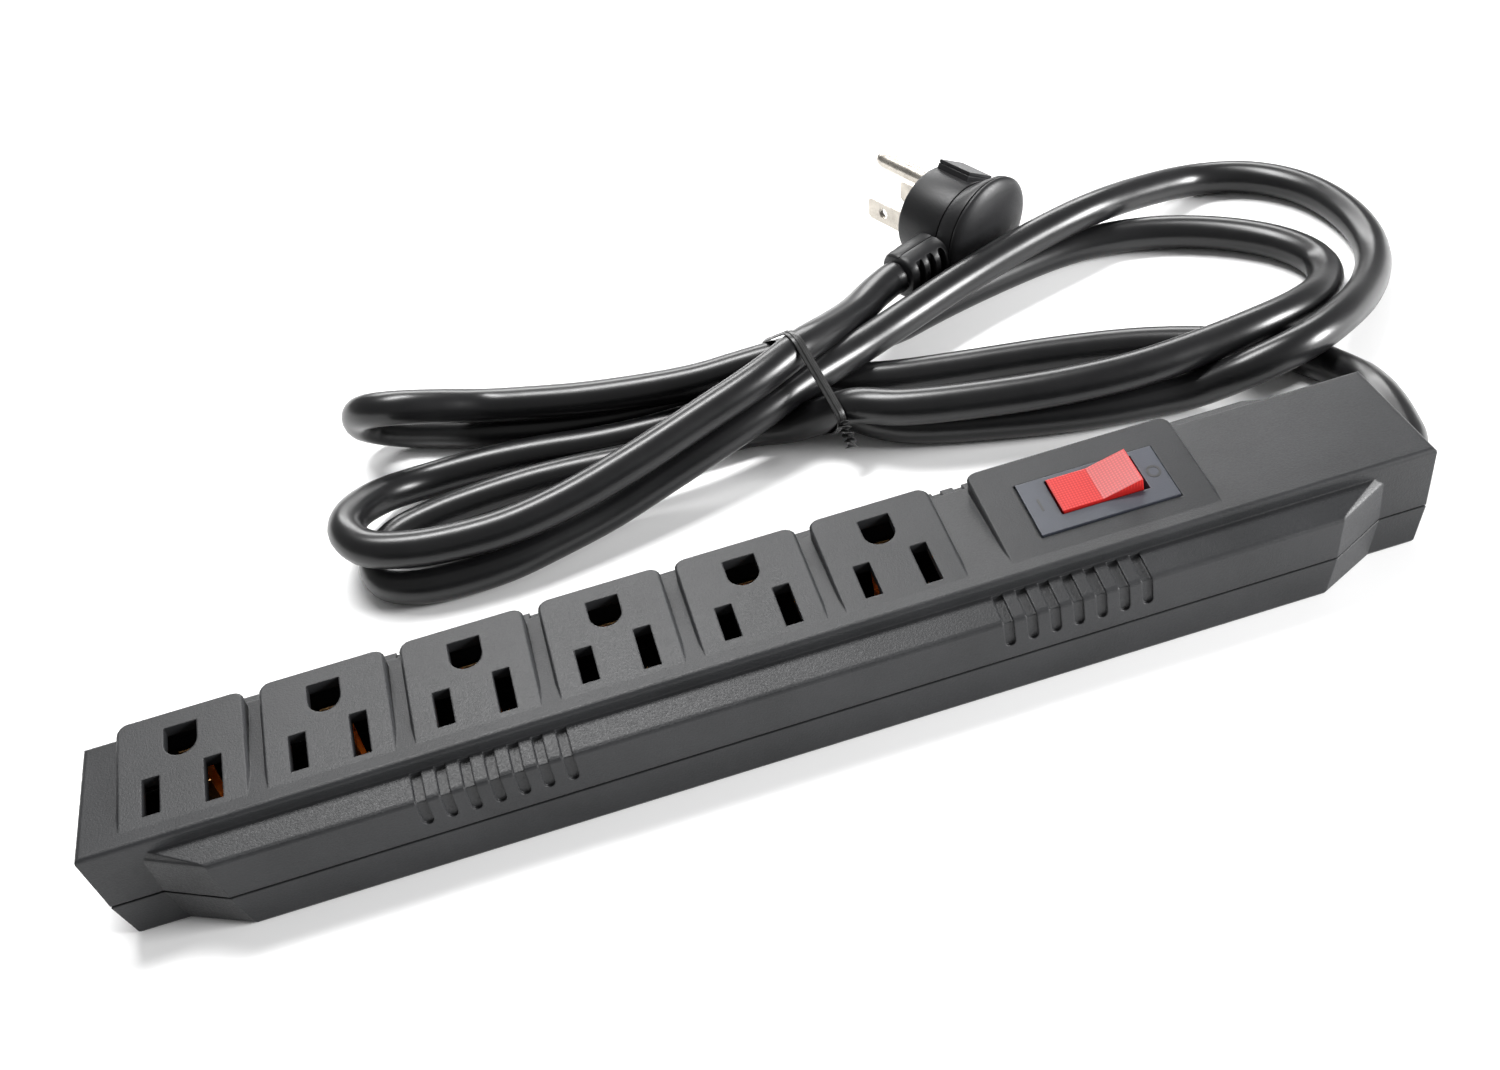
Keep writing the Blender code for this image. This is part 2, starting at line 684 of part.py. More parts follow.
def cord_clamp():
    y = CORD_EXIT_Y
    made = mesh_object("cord_clamp", *box((126.6, y - 10.6, 3.7), (130.4, y + 10.6, 18.4)), "grommet_rubber")
    bore = along_x((y, PART_Z), [(120.0, 6.2), (135.0, 6.2)])
    cut(made, mesh_object("cut_clamp", *bore, None))
    window = box((125.0, y - 6.2, 0.0), (134.0, y + 6.2, PART_Z))
    cut(made, mesh_object("cut_clamp_leg", *window, None))
    holes = [post((128.5, y + side * 8.7), [(2.0, 0.95), (20.0, 0.95)], 12) for side in (-1.0, 1.0)]
    cut(made, combine("cut_clamp_screws", holes, None))
    for index, side in enumerate((-1.0, 1.0)):
        sections = [(1.6, 0.7), (18.6, 0.7), (18.6001, 1.6), (19.8, 1.5)]
        screw = post((128.5, y + side * 8.7), sections, 12)
        smooth(mesh_object(f"clamp_screw_{index + 1}", *screw, "steel"))
    return made


# Middle of the cord from the strip to the plug, in millimetres. It runs out of the end of the
# strip, then through the tie six times: round two loops at the far right and three at the left.
CORD_ROUTE = [
    (143.6, 1.0, 9.8), (146.6, 1.9, 9.8), (149.2, 5.0, 9.8), (150.9, 10.5, 9.7), (152.3, 17.0, 9.5),
    (153.4, 24.0, 8.8), (154.2, 31.0, 7.2), (153.6, 38.0, 5.6), (151.4, 45.5, 4.7), (147.0, 53.5, 4.6),
    (135.5, 63.0, 4.6), (118.5, 72.5, 4.6), (97.5, 79.5, 4.6), (70.0, 86.0, 4.6), (50.0, 91.0, 5.2),
    (33.5, 100.0, 6.2), (18.5, 105.5, 5.2), (2.0, 106.0, 4.6), (-19.5, 108.5, 4.6), (-37.5, 113.5, 4.6),
    (-56.0, 121.5, 4.6), (-68.0, 127.5, 4.8), (-76.5, 129.5, 7.5), (-80.0, 127.5, 11.5),
    (-79.5, 124.0, 16.5), (-75.5, 119.0, 20.0), (-68.5, 115.5, 20.8), (-58.0, 115.0, 18.0),
    (-47.0, 115.5, 14.0), (-35.5, 111.5, 13.5), (-20.5, 106.0, 13.5), (-2.5, 101.5, 13.5),
    (8.0, 100.0, 13.5), (18.5, 99.5, 14.0), (28.0, 99.0, 14.4), (37.0, 99.0, 14.2), (48.5, 103.0, 10.2),
    (65.0, 112.0, 4.6), (97.0, 121.8, 4.6), (121.5, 125.4, 4.6), (140.4, 121.6, 4.6),
    (156.8, 111.7, 4.6), (168.3, 98.6, 4.6), (172.0, 86.0, 4.6), (167.5, 74.5, 6.5),
    (154.0, 61.0, 12.0), (138.0, 54.5, 14.5), (123.0, 53.0, 14.0), (107.0, 52.0, 14.0),
    (90.0, 53.5, 14.0), (71.0, 57.5, 14.0), (50.5, 64.0, 14.0), (41.0, 70.5, 13.5), (34.0, 76.0, 9.5),
    (26.5, 81.5, 5.2), (16.5, 85.5, 4.6), (5.0, 85.5, 4.6), (-9.0, 86.0, 4.6), (-23.0, 88.0, 4.6),
    (-38.5, 89.5, 4.6), (-54.0, 89.0, 4.6), (-66.0, 87.5, 4.6), (-77.0, 83.4, 4.6), (-81.9, 75.0, 4.6),
    (-79.7, 66.6, 4.6), (-72.0, 62.0, 4.6), (-62.5, 60.5, 4.6), (-50.5, 61.0, 4.6), (-37.5, 64.5, 4.6),
    (-24.0, 68.5, 5.0), (-10.0, 72.0, 7.5), (4.0, 74.5, 11.0), (18.0, 78.5, 13.5), (30.5, 84.5, 14.5),
    (46.5, 93.0, 13.5), (62.5, 102.9, 12.0), (82.0, 112.2, 12.5), (104.5, 120.0, 14.0),
    (125.0, 126.5, 14.0), (144.8, 135.4, 9.5), (163.3, 140.9, 5.0), (177.0, 134.8, 4.6),
    (187.0, 120.5, 4.6), (189.8, 101.3, 4.6), (186.0, 84.0, 4.6), (174.5, 66.5, 7.5),
    (158.0, 51.0, 12.5), (144.0, 43.5, 14.0), (131.5, 44.0, 11.0), (119.0, 49.5, 5.0),
    (97.0, 53.0, 4.6), (73.5, 60.0, 4.6), (51.0, 69.5, 4.7), (41.0, 79.5, 5.6), (31.0, 90.5, 6.1),
    (19.0, 96.5, 4.9), (5.5, 96.5, 4.6), (-8.0, 96.5, 4.6), (-21.0, 98.0, 4.6), (-37.0, 101.5, 4.6),
    (-52.5, 103.5, 4.6), (-67.0, 103.0, 5.0), (-78.0, 97.1, 8.5), (-84.9, 86.2, 13.0),
    (-86.1, 76.5, 15.0), (-81.7, 68.4, 15.0), (-71.5, 64.0, 14.5), (-60.0, 62.5, 14.0),
    (-47.5, 62.5, 14.0), (-32.0, 65.0, 15.0), (-13.5, 69.5, 17.5), (3.5, 74.5, 20.2),
    (19.0, 79.5, 22.5), (32.5, 87.5, 23.0), (43.5, 98.5, 18.5), (52.5, 108.8, 14.5),
    (60.3, 117.8, 12.6), (66.1, 123.1, 11.8),
]


def smooth_curve(route, steps):
    """Fine points on the smooth curve through every point of a route."""
    fine = []
    last = len(route) - 1
    for i in range(last):
        a = Vector(route[max(i - 1, 0)])
        b = Vector(route[i])
        c = Vector(route[i + 1])
        d = Vector(route[min(i + 2, last)])
        t1 = max((b - a).length, 0.001) ** 0.5
        t2 = max((c - b).length, 0.001) ** 0.5
        t3 = max((d - c).length, 0.001) ** 0.5
        m1 = c - b
        m2 = c - b
        if i > 0:
            m1 = t2 * ((b - a) / t1 - (c - a) / (t1 + t2) + (c - b) / t2)
        if i < last - 1:
            m2 = t2 * ((c - b) / t2 - (d - b) / (t2 + t3) + (d - c) / t3)
        for k in range(steps):
            t = k / steps
            place = (2 * t**3 - 3 * t**2 + 1) * b + (t**3 - 2 * t**2 + t) * m1
            place += (-2 * t**3 + 3 * t**2) * c + (t**3 - t**2) * m2
            fine.append(place)
    fine.append(Vector(route[-1]))
    return fine


def spread_points(fine, count):
    """Pick points off a fine curve, closer together where it bends more."""
    costs = [0.0]
    for i in range(1, len(fine)):
        step = fine[i] - fine[i - 1]
        turn = 0.0
        if i < len(fine) - 1:
            turn = step.angle(fine[i + 1] - fine[i], 0.0)
        costs.append(costs[-1] + step.length + BEND_WEIGHT * turn)
    picked = []
    for k in range(count):
        want = costs[-1] * k / (count - 1)
        nearest = min(range(len(fine)), key=lambda i: abs(costs[i] - want))
        picked.append(fine[nearest].copy())
    return picked


def power_cord():
    points = spread_points(smooth_curve(CORD_ROUTE, 20), CORD_POINTS)
    points.insert(0, Vector((CORD_START_X, CORD_EXIT_Y, PART_Z)))
    points.append(Vector(CORD_END))
    for point in points:
        point.z = max(point.z, CORD_RADIUS + 0.05)
    return tube("power_cord", points, CORD_RADIUS, "cord_jacket", 2)


# Plug, in its own frame: x towards the cord, y up past the ground pin, z along the prongs

def plug_frame():
    along = Vector(PRONG_DIRECTION).normalized()
    side = Vector(PLUG_UP).cross(along).normalized()
    up = along.cross(side)
    turn = Matrix((side, up, along)).transposed().to_4x4()
    return Matrix.Translation(Vector(PLUG_AT) * MM) @ turn


def in_plug(shape_object):
    shape_object.matrix_world = plug_frame()
    return shape_object


def relief_ring(x, half_y, half_z):
    """Rounded section of the strain relief."""
    ring = []
    for i in range(20):
        angle = 2.0 * math.pi * i / 20.0
        y = math.copysign(abs(math.cos(angle)) ** 0.75, math.cos(angle)) * half_y
        z = math.copysign(abs(math.sin(angle)) ** 0.75, math.sin(angle)) * half_z
        ring.append((x, y - 1.5, z - SEAM_DEPTH))
    return ring


def plug_level(z, radius, lip):
    """Section of the body, longer by lip on the upper side away from the cord."""
    half = lip * radius / PLUG_RADIUS / 2.0
    away, up = -math.cos(LIP_TURN), math.sin(LIP_TURN)
    ring = []
    for x, y in circle((0.0, 0.0), radius, 36):
        shift = half * (1.0 + (x * away + y * up) / radius)
        ring.append((x + away * shift, PLUG_CENTRE_B + y + up * shift, z))
    return ring


def plug_body():
    r = PLUG_RADIUS
    sections = [
        (-23.2, 2.6, LIP), (-22.9, 6.6, LIP), (-22.3, 9.6, LIP), (-21.5, 11.6, LIP), (-20.7, 12.8, LIP),
        (-19.8, r - 0.1, LIP), (-19.4, r - 0.2, LIP), (-19.0, r - 0.3, LIP), (-14.3, r - 0.3, 0.4),
        (-0.7, r, 0.0), (-0.2, r - 0.15, 0.0), (0.0, r - 0.6, 0.0),
    ]
    levels = [plug_level(z, radius, lip) for z, radius, lip in sections]
    made = in_plug(mesh_object("plug_body", *rings(levels), "plug_black"))
    relief = rings([
        relief_ring(9.0, 7.6, 7.4), relief_ring(12.5, 7.2, 7.0), relief_ring(16.0, 6.8, 6.7),
        relief_ring(25.6, 5.9, 6.0),
    ])
    join(made, in_plug(mesh_object("relief", *relief, None)))
    turned = []
    for out, along in ((r - 2.0, -5.2), (r + 1.6, -5.2), (r + 1.6, 5.2), (r - 2.0, 5.2)):
        x = -out * math.cos(TAB_TURN) + along * math.sin(TAB_TURN)
        y = PLUG_CENTRE_B + out * math.sin(TAB_TURN) + along * math.cos(TAB_TURN)
        turned.append((x, y))
    tab = rings([[(x, y, z) for x, y in turned] for z in (-12.4, -0.9)])
    join(made, in_plug(mesh_object("tab", *tab, None)))
    pockets = [box((x - 1.05, -3.5, -3.0), (x + 1.05, 3.5, 1.0)) for x in (-SLOT_OFFSET, SLOT_OFFSET)]
    pockets.append(post((0.0, 11.9), [(-3.0, 2.7), (1.0, 2.7)], 20))
    cut(made, in_plug(combine("cut_prongs", pockets, None)))
    return smooth(made)


def prongs():
    for name, x in (("line_blade", -SLOT_OFFSET), ("neutral_blade", SLOT_OFFSET)):
        side = [(-3.175, -2.7), (3.175, -2.7), (3.175, 16.7), (2.4, BLADE_LENGTH), (-2.4, BLADE_LENGTH), (-3.175, 16.7)]
        levels = [[(x + offset, y, z) for y, z in side] for offset in (-0.76, 0.76)]
        blade = in_plug(mesh_object(name, *rings(levels), "nickel"))
        hole = [[(x + offset, y, z) for y, z in circle((0.0, 11.9), 1.6, 16)] for offset in (-2.0, 2.0)]
        cut(blade, in_plug(mesh_object("cut_" + name, *rings(hole), None)))
    sections = [(-2.7, 2.38), (18.4, 2.38), (19.9, 2.0), (20.8, 1.3), (GROUND_LENGTH, 0.5)]
    smooth(in_plug(mesh_object("ground_pin", *post((0.0, 11.9), sections, 20), "nickel")))


# Wire tie round the six runs of the cord

TIE_AT = (31.0, 88.0)
TIE_DIRECTION = math.radians(-76.0)
TIE_WIDTH = 2.4
TIE_THICKNESS = 0.9


def hull(points):
    """Convex outline of flat points, anticlockwise."""
    ordered = sorted(points)
    outline = []
    for line in (ordered, ordered[::-1]):
        chain = []
        for p in line:
            while len(chain) > 1:
                a, b = chain[-2], chain[-1]
                if (b[0] - a[0]) * (p[1] - a[1]) > (b[1] - a[1]) * (p[0] - a[0]):
                    break
                chain.pop()
            chain.append(p)
        outline.extend(chain[:-1])
    return outline


def grow(outline, distance):
    """Move every corner of a convex outline outwards."""
    grown = []
    count = len(outline)
    for i in range(count):
        before = Vector(outline[i]) - Vector(outline[i - 1])
        after = Vector(outline[(i + 1) % count]) - Vector(outline[i])
        normal = (before.normalized() + after.normalized()).normalized()
        grown.append((outline[i][0] + normal.y * distance, outline[i][1] - normal.x * distance))
    return grown


def twist_tie():
    """Flat band pulled round the outline that the runs of cord make where they pass through it."""
    middle = Vector((TIE_AT[0], TIE_AT[1], 0.0))
    across = Vector((math.cos(TIE_DIRECTION), math.sin(TIE_DIRECTION), 0.0))
    through = Vector((-across.y, across.x, 0.0))
    reach = CORD_RADIUS + GAP + 0.1
    cloud = []
    for place in smooth_curve(CORD_ROUTE, 20):
        offset = place - middle
        aside = max(0.0, abs(offset.dot(through)) - TIE_WIDTH / 2.0)
        if aside < reach and abs(offset.dot(across)) < 30.0:
            radius = math.sqrt(reach * reach - aside * aside)
            ring = circle((offset.dot(across), place.z), radius, 24)
            cloud.extend([(u, max(z, TIE_THICKNESS + 0.1)) for u, z in ring])
    outline = []
    for point in hull(cloud):
        if not outline or (Vector(point) - Vector(outline[-1])).length > 0.8:
            outline.append(point)
    outer = grow(outline, TIE_THICKNESS)
    levels = []
    for offset in (-TIE_WIDTH / 2.0, TIE_WIDTH / 2.0):
        for line in (outline, outer):
            levels.append([middle + across * u + Vector((0.0, 0.0, z)) + through * offset for u, z in line])
    verts = [place for level in levels for place in level]
    count = len(outline)
    faces = []
    for i in range(count):
        j = (i + 1) % count
        for a, b in ((0, 2), (2, 3), (3, 1), (1, 0)):
            faces.append((a * count + i, a * count + j, b * count + j, b * count + i))
    return mesh_object("twist_tie", verts, faces, "tie_black")


upper_housing()
lower_housing()
housing_screws()
hot_bus_bar()
neutral_bus_bar()
ground_bus_bar()
breaker_case()
breaker_terminals()
rocker()
switch_inside()
surge_board()
wires()
cord_grommet()
cord_clamp()
power_cord()
plug_body()
prongs()
twist_tie()
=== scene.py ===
"""Visual model of a six-outlet surge protector strip with a tied cord and a right-angle plug."""

import json
import math

import bmesh
import bpy
from mathutils import Matrix, Vector

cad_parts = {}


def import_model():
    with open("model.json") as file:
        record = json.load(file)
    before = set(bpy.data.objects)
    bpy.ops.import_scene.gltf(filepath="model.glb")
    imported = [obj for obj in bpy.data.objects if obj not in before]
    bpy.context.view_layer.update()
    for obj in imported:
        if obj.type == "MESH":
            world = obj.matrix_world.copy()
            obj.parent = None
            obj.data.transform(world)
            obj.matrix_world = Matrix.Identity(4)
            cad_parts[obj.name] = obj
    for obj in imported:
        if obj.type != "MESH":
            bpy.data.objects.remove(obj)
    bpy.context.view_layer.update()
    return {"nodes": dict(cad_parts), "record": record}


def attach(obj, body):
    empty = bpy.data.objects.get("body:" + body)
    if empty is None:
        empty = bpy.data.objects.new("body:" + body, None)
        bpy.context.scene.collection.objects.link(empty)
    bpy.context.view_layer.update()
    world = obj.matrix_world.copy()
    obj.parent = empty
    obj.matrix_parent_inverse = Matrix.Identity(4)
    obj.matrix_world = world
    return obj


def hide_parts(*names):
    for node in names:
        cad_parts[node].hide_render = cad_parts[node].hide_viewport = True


MM = 0.001
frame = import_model()


# Camera

CAMERA_AT = (-26.23, -261.19, 257.01)
CAMERA_RIGHT = (0.9554, -0.2408, -0.1707)
CAMERA_FORWARD = (0.0806, 0.7692, -0.6339)
CAMERA_LENS = 40.63
SENSOR_WIDTH = 36.0


def camera():
    data = bpy.data.cameras.new("camera")
    data.sensor_fit = "HORIZONTAL"
    data.sensor_width = SENSOR_WIDTH
    data.lens = CAMERA_LENS
    data.clip_start = 0.01
    data.clip_end = 20.0
    right = Vector(CAMERA_RIGHT).normalized()
    back = -Vector(CAMERA_FORWARD).normalized()
    up = back.cross(right).normalized()
    right = up.cross(back)
    made = bpy.data.objects.new("camera", data)
    turn = Matrix((right, up, back)).transposed().to_4x4()
    made.matrix_world = Matrix.Translation(Vector(CAMERA_AT) * MM) @ turn
    bpy.context.scene.collection.objects.link(made)
    bpy.context.scene.camera = made


camera()


# Materials. Object coordinates are metres in the shared frame.

CLOUD_GRAIN = 0.018
TARNISH_GRAIN = 0.004
DRAWN_STRETCH = (0.08, 1.0, 1.0)
PRISM_PITCH = 0.0021


def new_material(name, colour, roughness, metallic=0.0):
    made = bpy.data.materials.new(name)
    made.use_nodes = True
    made.diffuse_color = (*colour, 1.0)
    shader = made.node_tree.nodes["Principled BSDF"]
    shader.inputs["Base Color"].default_value = (*colour, 1.0)
    shader.inputs["Roughness"].default_value = roughness
    shader.inputs["Metallic"].default_value = metallic
    return made, made.node_tree, shader


def coordinates(tree, stretch=(1.0, 1.0, 1.0)):
    source = tree.nodes.new("ShaderNodeTexCoord")
    mapping = tree.nodes.new("ShaderNodeMapping")
    mapping.inputs["Scale"].default_value = stretch
    tree.links.new(source.outputs["Object"], mapping.inputs["Vector"])
    return mapping.outputs["Vector"]


def noise(tree, vector, grain, detail=3.0, roughness=0.55):
    """Noise whose features are about grain metres across."""
    node = tree.nodes.new("ShaderNodeTexNoise")
    node.inputs["Scale"].default_value = 1.0 / grain
    node.inputs["Detail"].default_value = detail
    node.inputs["Roughness"].default_value = roughness
    tree.links.new(vector, node.inputs["Vector"])
    return node.outputs["Fac"]


def remap(tree, value, low, high, start=0.3, end=0.7):
    node = tree.nodes.new("ShaderNodeMapRange")
    node.inputs["From Min"].default_value = start
    node.inputs["From Max"].default_value = end
    node.inputs["To Min"].default_value = low
    node.inputs["To Max"].default_value = high
    tree.links.new(value, node.inputs["Value"])
    return node.outputs["Result"]


def colour_mix(tree, value, first, second):
    node = tree.nodes.new("ShaderNodeMix")
    node.data_type = "RGBA"
    node.inputs["A"].default_value = (*first, 1.0)
    node.inputs["B"].default_value = (*second, 1.0)
    tree.links.new(value, node.inputs["Factor"])
    return node.outputs["Result"]


def bump(tree, shader, height, strength, distance, edge=0.0):
    """Bump on the shader's normal, over edges rounded by edge metres."""
    node = tree.nodes.new("ShaderNodeBump")
    node.inputs["Strength"].default_value = strength
    node.inputs["Distance"].default_value = distance
    tree.links.new(height, node.inputs["Height"])
    if edge > 0.0:
        rounded = tree.nodes.new("ShaderNodeBevel")
        rounded.samples = 6
        rounded.inputs["Radius"].default_value = edge
        tree.links.new(rounded.outputs["Normal"], node.inputs["Normal"])
    tree.links.new(node.outputs["Normal"], shader.inputs["Normal"])


def moulded(name, dark, light, roughness, grain, depth, edge=0.0, spread=0.08, relief=0.5, gloss=0.5):
    """Moulded plastic with a fine even texture and slight cloudiness.

    The texture is grain metres wide, depth metres deep and relief strong, and shifts the roughness
    by spread. Edges look rounded by edge metres.
    """
    made, tree, shader = new_material(name, light, roughness)
    shader.inputs["Specular IOR Level"].default_value = gloss
    where = coordinates(tree)
    cloud = noise(tree, where, CLOUD_GRAIN, 4.0)
    speck = noise(tree, where, grain, 2.0, 0.7)
    tone = colour_mix(tree, remap(tree, cloud, 0.0, 1.0), dark, light)
    tree.links.new(tone, shader.inputs["Base Color"])
    shine = remap(tree, speck, roughness - spread, roughness + spread)
    tree.links.new(shine, shader.inputs["Roughness"])
    bump(tree, shader, speck, relief, depth, edge)
    return made


def metal(name, dark, light, roughness, grain):
    """Stamped sheet with fine drawn lines and faint tarnish."""
    made, tree, shader = new_material(name, light, roughness, 1.0)
    lines = noise(tree, coordinates(tree, DRAWN_STRETCH), grain, 3.0)
    tarnish = noise(tree, coordinates(tree), TARNISH_GRAIN, 3.0)
    tone = colour_mix(tree, remap(tree, tarnish, 0.0, 1.0), dark, light)
    tree.links.new(tone, shader.inputs["Base Color"])
    shine = remap(tree, lines, roughness - 0.08, roughness + 0.1)
    tree.links.new(shine, shader.inputs["Roughness"])
    bump(tree, shader, lines, 0.12, 0.00005, 0.0001)
    return made


def clear_red(name):
    """Translucent red plastic with a fine prism grid inside it."""
    made, tree, shader = new_material(name, (0.75, 0.03, 0.025), 0.42)
    where = coordinates(tree)
    grid = []
    for direction in ("X", "Y"):
        wave = tree.nodes.new("ShaderNodeTexWave")
        wave.wave_type = "BANDS"
        wave.bands_direction = direction
        wave.inputs["Scale"].default_value = 1.0 / PRISM_PITCH
        wave.inputs["Distortion"].default_value = 0.0
        tree.links.new(where, wave.inputs["Vector"])
        grid.append(wave.outputs["Fac"])
    both = tree.nodes.new("ShaderNodeMath")
    both.operation = "MULTIPLY"
    tree.links.new(grid[0], both.inputs[0])
    tree.links.new(grid[1], both.inputs[1])
    cells = both.outputs["Value"]
    share = remap(tree, cells, 0.0, 1.0, 0.0, 0.6)
    tone = colour_mix(tree, share, (0.3, 0.007, 0.006), (0.5, 0.026, 0.022))
    tree.links.new(tone, shader.inputs["Base Color"])
    shader.inputs["Subsurface Weight"].default_value = 0.35
    shader.inputs["Subsurface Radius"].default_value = (1.0, 0.15, 0.1)
    shader.inputs["Subsurface Scale"].default_value = 0.002
    shader.inputs["Coat Weight"].default_value = 0.1
    shader.inputs["Coat Roughness"].default_value = 0.2
    shader.inputs["Specular IOR Level"].default_value = 0.3
    bump(tree, shader, cells, 0.18, 0.0001, 0.0003)
    return made


def clear_glass(name):
    made, _, shader = new_material(name, (0.9, 0.8, 0.7), 0.08)
    shader.inputs["Transmission Weight"].default_value = 0.8
    return made


PLASTICS = {
    "housing": dict(
        dark=(0.0115, 0.012, 0.013), light=(0.0175, 0.018, 0.0195), roughness=0.46,
        grain=0.00045, depth=0.0001, edge=0.0005, relief=0.55, gloss=0.32),
    "switch_plate": dict(
        dark=(0.022, 0.025, 0.034), light=(0.03, 0.034, 0.046), roughness=0.42,
        grain=0.0003, depth=0.00004, edge=0.0003),
    "board": dict(
        dark=(0.05, 0.19, 0.09), light=(0.08, 0.27, 0.13), roughness=0.45,
        grain=0.0008, depth=0.00004, edge=0.0001),
    "varistor_blue": dict(
        dark=(0.03, 0.11, 0.42), light=(0.05, 0.17, 0.55), roughness=0.35,
        grain=0.0009, depth=0.0001, edge=0.0003),
    "fuse_ceramic": dict(
        dark=(0.7, 0.66, 0.58), light=(0.8, 0.77, 0.7), roughness=0.5,
        grain=0.0004, depth=0.00005, edge=0.0002),
    "cord_jacket": dict(
        dark=(0.004, 0.004, 0.0045), light=(0.007, 0.007, 0.0075), roughness=0.3,
        grain=0.004, depth=0.00003, spread=0.02, relief=0.15, gloss=0.42),
    "grommet_rubber": dict(
        dark=(0.018, 0.018, 0.018), light=(0.026, 0.026, 0.027), roughness=0.6,
        grain=0.0005, depth=0.00005, edge=0.0003),
    "wire_black": dict(
        dark=(0.015, 0.015, 0.015), light=(0.024, 0.024, 0.024), roughness=0.4,
        grain=0.0006, depth=0.00003),
    "wire_white": dict(
        dark=(0.7, 0.7, 0.68), light=(0.82, 0.82, 0.8), roughness=0.4,
        grain=0.0006, depth=0.00003),
    "wire_green": dict(
        dark=(0.03, 0.28, 0.08), light=(0.05, 0.38, 0.11), roughness=0.4,
        grain=0.0006, depth=0.00003),
    "plug_black": dict(
        dark=(0.006, 0.006, 0.0065), light=(0.01, 0.01, 0.011), roughness=0.42,
        grain=0.00045, depth=0.00005, spread=0.06, relief=0.4, gloss=0.3),
    "tie_black": dict(
        dark=(0.012, 0.012, 0.012), light=(0.02, 0.02, 0.02), roughness=0.36,
        grain=0.0006, depth=0.00005, edge=0.0002),
}
METALS = {
    "brass": dict(dark=(0.55, 0.3, 0.12), light=(0.8, 0.5, 0.24), roughness=0.34, grain=0.0003),
    "nickel": dict(dark=(0.36, 0.335, 0.3), light=(0.52, 0.485, 0.43), roughness=0.3, grain=0.00025),
    "steel": dict(dark=(0.42, 0.42, 0.43), light=(0.62, 0.62, 0.64), roughness=0.36, grain=0.0003),
}
MATERIALS = {name: moulded(name, **look) for name, look in PLASTICS.items()}
MATERIALS.update({name: metal(name, **look) for name, look in METALS.items()})
MATERIALS["rocker_red"] = clear_red("rocker_red")
MATERIALS["glass"] = clear_glass("glass")


def dress_nodes():
    """Give every carried-over node the material of its slot."""
    slots = {entry["node"]: entry["material_slot"] for entry in frame["record"]["subparts"]}
    for name, made in frame["nodes"].items():
        for slot in made.material_slots:
            slot.material = MATERIALS[slots[name]]


dress_nodes()


# Mesh helpers

def finish_mesh(name, work, slot, angle):
    """Object from a mesh being built, smooth but for edges sharper than angle degrees."""
    bmesh.ops.recalc_face_normals(work, faces=work.faces)
    mesh = bpy.data.meshes.new(name)
    work.to_mesh(mesh)
    work.free()
    mesh.materials.append(MATERIALS[slot])
    made = bpy.data.objects.new(name, mesh)
    bpy.context.scene.collection.objects.link(made)
    mesh.shade_smooth()
    mesh.set_sharp_from_angle(angle=math.radians(angle))
    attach(made, "strip")
    return made


def turn_round(count):
    """Cosine and sine of count even steps round a circle."""
    angles = [2.0 * math.pi * i / count for i in range(count)]
    return [(math.cos(angle), math.sin(angle)) for angle in angles]


def rings(work, levels, place=None, closed=False):
    """Skin a list of rings of equal length, with flat ends or joined end to end."""
    rows = []
    for level in levels:
        row = []
        for point in level:
            where = Vector(point) * MM
            if place is not None:
                where = place @ where
            row.append(work.verts.new(where))
        rows.append(row)
    pairs = list(zip(rows, rows[1:]))
    if closed:
        pairs.append((rows[-1], rows[0]))
    for low, high in pairs:
        for i in range(len(low)):
            j = (i + 1) % len(low)
            work.faces.new((low[i], low[j], high[j], high[i]))
    if not closed:
        work.faces.new(rows[0])
        work.faces.new(rows[-1])


def bevelled(made, width, angle):
    """Round a piece's edges for good."""
    modifier = made.modifiers.new("edges", "BEVEL")
    modifier.width = width * MM
    modifier.segments = 2
    modifier.limit_method = "ANGLE"
    modifier.angle_limit = math.radians(angle)
    apply_modifiers(made)


def apply_modifiers(made):
    graph = bpy.context.evaluated_depsgraph_get()
    mesh = bpy.data.meshes.new_from_object(made.evaluated_get(graph))
    made.modifiers.clear()
    made.data = mesh


def cut(made, cutters):
    """Take a list of closed ring stacks out of a piece, each with its placing."""
    work = bmesh.new()
    for levels, place in cutters:
        rings(work, levels, place)
    bmesh.ops.recalc_face_normals(work, faces=work.faces)
    mesh = bpy.data.meshes.new("cutter")
    work.to_mesh(mesh)
    work.free()
    tool = bpy.data.objects.new("cutter", mesh)
    bpy.context.scene.collection.objects.link(tool)
    modifier = made.modifiers.new("cut", "BOOLEAN")
    modifier.operation = "DIFFERENCE"
    modifier.solver = "EXACT"
    modifier.object = tool
    apply_modifiers(made)
    bpy.data.objects.remove(tool, do_unlink=True)


# Cord. The route repeats the solid model's, in millimetres.

